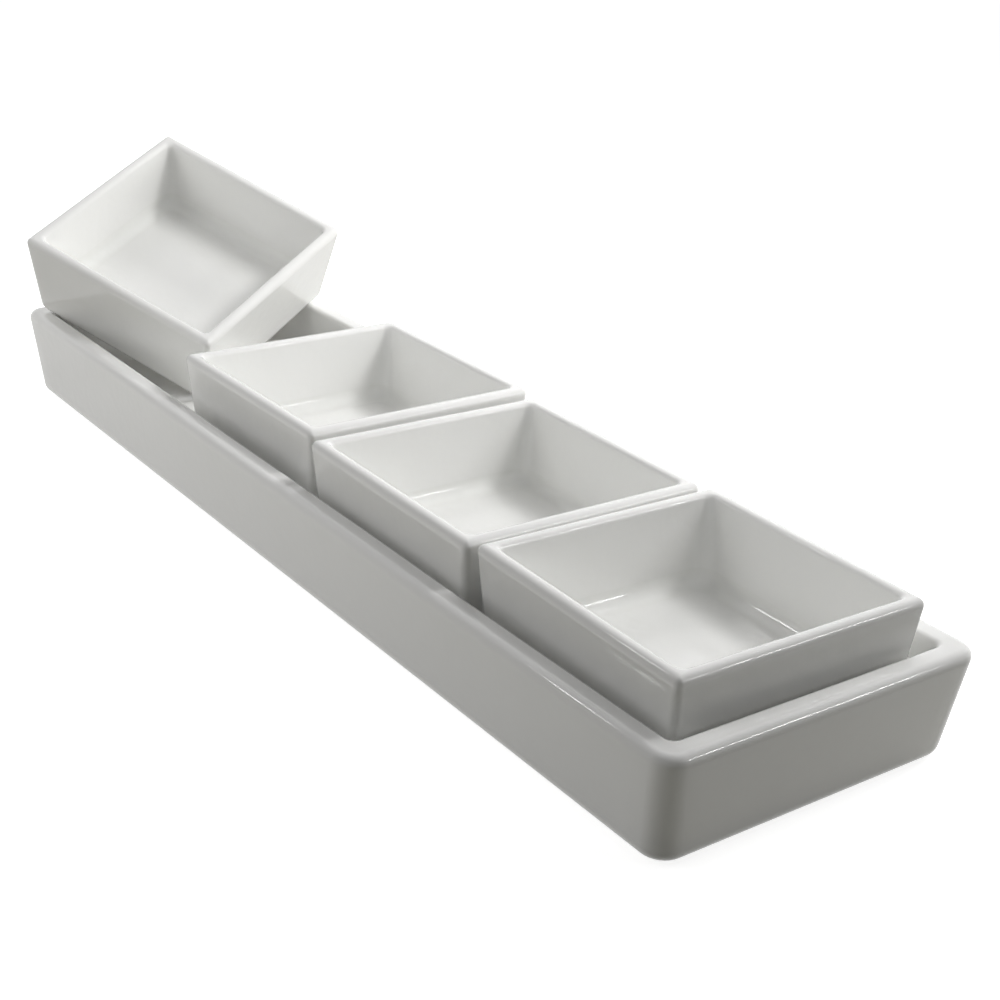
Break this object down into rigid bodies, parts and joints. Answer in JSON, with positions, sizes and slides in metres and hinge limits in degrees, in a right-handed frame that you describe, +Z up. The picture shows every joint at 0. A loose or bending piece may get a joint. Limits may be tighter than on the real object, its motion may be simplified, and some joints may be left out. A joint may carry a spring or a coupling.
{
  "type": "garnish tray with dishes",
  "caption": "Long rectangular ceramic tray with outward-leaning walls, carrying loose square garnish dishes in a row, the end dish tipped onto the tray's rim.",
  "frame": {"origin": "middle of the tray's foot, on the surface that it stands on", "axes": "+X along the tray, from the end with the tipped dish to the other; +Y across it; +Z up"},
  "size_m": [0.4265, 0.1189, 0.0967],
  "materials": {
    "tray_glaze": "gloss white glaze, foot ring unglazed",
    "dish_glaze": "gloss white glaze, foot ring unglazed"
  },
  "bodies": {
    "tray": {"tray": "tray_glaze"},
    "dish_1": {"dish_1": "dish_glaze"},
    "dish_2": {"dish_2": "dish_glaze"},
    "dish_3": {"dish_3": "dish_glaze"},
    "dish_4": {"dish_4": "dish_glaze"}
  },
  "joints": [
    {"name": "dish_1_lift", "type": "slide", "parent": "tray", "child": "dish_1", "axis": [0, 0, 1], "range_m": [0, 0.06]},
    {"name": "dish_2_lift", "type": "slide", "parent": "tray", "child": "dish_2", "axis": [0, 0, 1], "range_m": [0, 0.06]},
    {"name": "dish_3_lift", "type": "slide", "parent": "tray", "child": "dish_3", "axis": [0, 0, 1], "range_m": [0, 0.06]},
    {"name": "dish_4_lift", "type": "slide", "parent": "tray", "child": "dish_4", "axis": [0, 0, 1], "range_m": [0, 0.06]}
  ]
}
